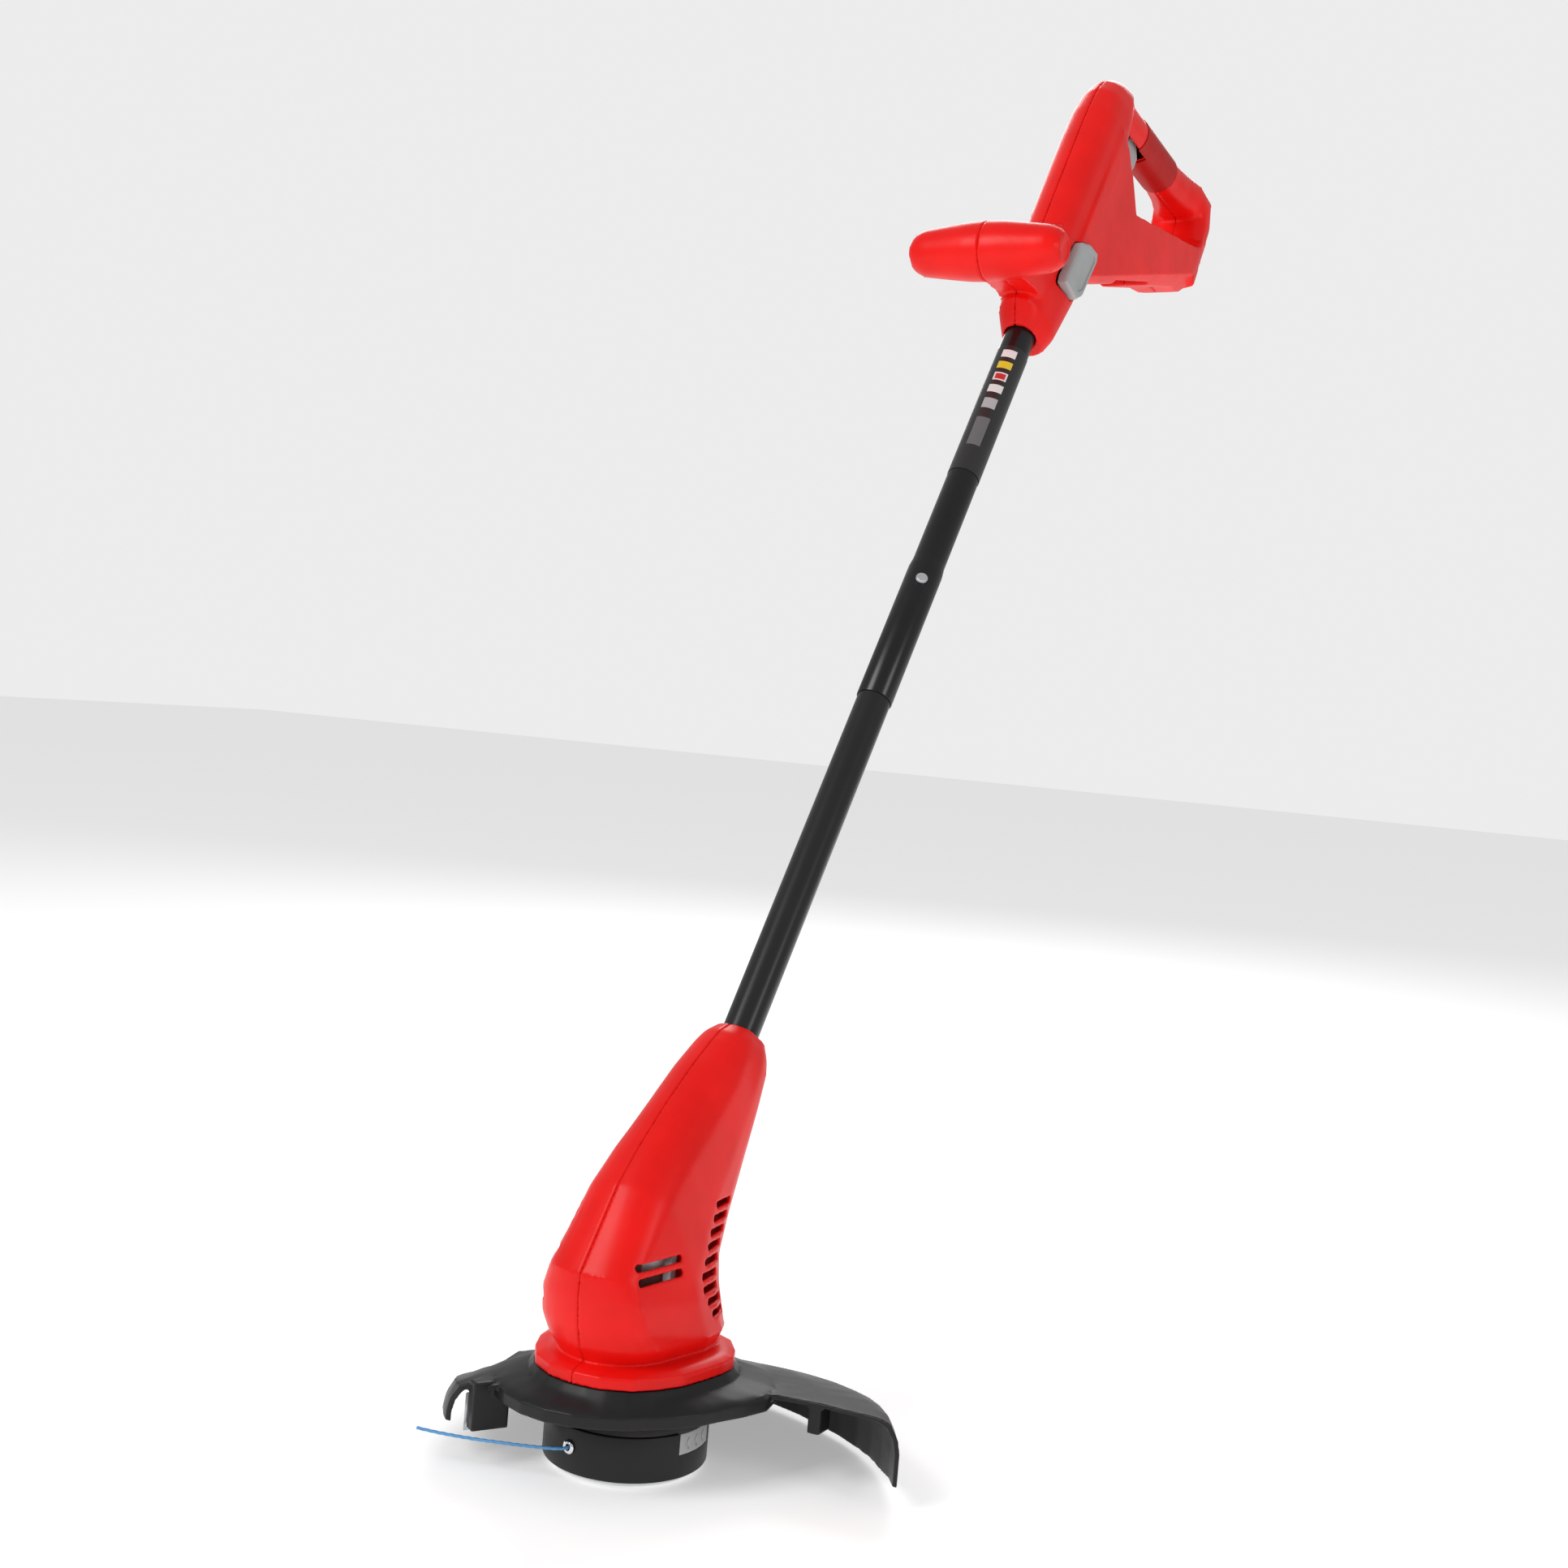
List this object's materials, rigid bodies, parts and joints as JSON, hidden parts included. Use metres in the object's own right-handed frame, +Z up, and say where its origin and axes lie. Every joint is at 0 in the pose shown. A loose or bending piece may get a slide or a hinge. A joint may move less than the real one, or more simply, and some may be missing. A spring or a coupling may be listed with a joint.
{
  "type": "string_trimmer",
  "caption": "Cordless string trimmer with a two-piece tube shaft, D-shaped rear handle, front barrel grip, motor head, line guard and bump-feed spool",
  "frame": {"origin": "centre of the bump knob's flat bottom face, on the spool axis", "axes": "+Z up along the spool axis, +Y towards the user, +X to the side of the shaft release button"},
  "size_m": [0.2842, 0.9018, 1.0011],
  "materials": {
    "moulded_red": "semi-gloss moulded plastic",
    "overmould_red": "soft matt over-mould",
    "moulded_black": "fine satin grain",
    "moulded_grey": "satin",
    "plated_steel": "zinc plated",
    "bright_chrome": "polished",
    "black_tube": "gloss black enamel",
    "copper": "drawn copper",
    "blue_line": "twisted nylon",
    "label_film": "printed film"
  },
  "bodies": {
    "handle": {"handle_shell_left": "moulded_red", "handle_shell_right": "moulded_red", "rear_grip_sleeve": "overmould_red", "trigger_spring": "plated_steel", "trigger_pin": "plated_steel", "power_switch": "moulded_black", "terminal_block": "moulded_black", "terminal_blade_left": "copper", "terminal_blade_right": "copper", "shaft_bush": "moulded_black", "handle_screw_1": "plated_steel", "handle_screw_2": "plated_steel", "handle_screw_3": "plated_steel", "handle_screw_4": "plated_steel", "handle_screw_5": "plated_steel"},
    "trigger": {"trigger": "moulded_grey"},
    "release_button": {"lock_button": "moulded_grey"},
    "head": {"upper_tube": "black_tube", "lower_tube": "black_tube", "joint_screw": "bright_chrome", "label_film": "label_film", "motor_lead": "moulded_black", "stop_collar": "plated_steel", "motor_housing_left": "moulded_red", "motor_housing_right": "moulded_red", "housing_screw_1": "plated_steel", "housing_screw_2": "plated_steel", "housing_screw_3": "plated_steel", "housing_screw_4": "plated_steel", "motor_can": "plated_steel", "field_magnet_left": "moulded_black", "field_magnet_right": "moulded_black", "end_bell": "moulded_black", "motor_bracket": "plated_steel", "motor_screw_left": "plated_steel", "motor_screw_right": "plated_steel", "upper_bearing": "plated_steel", "lower_bearing": "plated_steel", "carbon_brush_left": "copper", "carbon_brush_right": "copper", "guard": "moulded_black", "guard_screw_1": "plated_steel", "guard_screw_2": "plated_steel", "guard_screw_3": "plated_steel", "guard_screw_4": "plated_steel", "cut_off_blade": "plated_steel", "blade_screw_1": "plated_steel", "blade_screw_2": "plated_steel"},
    "rotor": {"arbor": "plated_steel", "armature": "copper", "commutator": "copper", "cooling_fan": "moulded_black", "spool_driver": "moulded_grey", "spool_cover": "moulded_black", "line_eyelet": "bright_chrome", "cutting_line": "blue_line", "bump_spring": "plated_steel"},
    "knob": {"bump_knob": "moulded_grey"},
    "reel": {"line_reel": "moulded_black", "wound_line": "blue_line"}
  },
  "joints": [
    {"name": "trigger_squeeze", "type": "hinge", "parent": "handle", "child": "trigger", "pos_m": [0, 0.6353, 0.9654], "axis": [1, 0, 0], "range_deg": [0, 12], "stiffness_Nm_per_rad": 0.5, "springref_deg": -17.19},
    {"name": "button_press", "type": "slide", "parent": "handle", "child": "release_button", "axis": [-1, 0, 0], "range_m": [0, 0.004], "stiffness_N_per_m": 600, "springref_m": -0.003},
    {"name": "shaft_turn", "type": "hinge", "parent": "handle", "child": "head", "pos_m": [0, 0, 0.103], "axis": [0, 0.565, 0.8251], "range_deg": [0, 180]},
    {"name": "spool_spin", "type": "hinge", "parent": "head", "child": "rotor", "pos_m": [0, 0, 0], "axis": [0, 0, 1], "continuous": true},
    {"name": "bump_press", "type": "slide", "parent": "rotor", "child": "knob", "axis": [0, 0, 1], "range_m": [0, 0.005], "stiffness_N_per_m": 1200, "springref_m": -0.003, "deforming": ["bump_spring"]},
    {"name": "reel_feed", "type": "hinge", "parent": "knob", "child": "reel", "pos_m": [0, 0, 0], "axis": [0, 0, 1], "continuous": true}
  ]
}
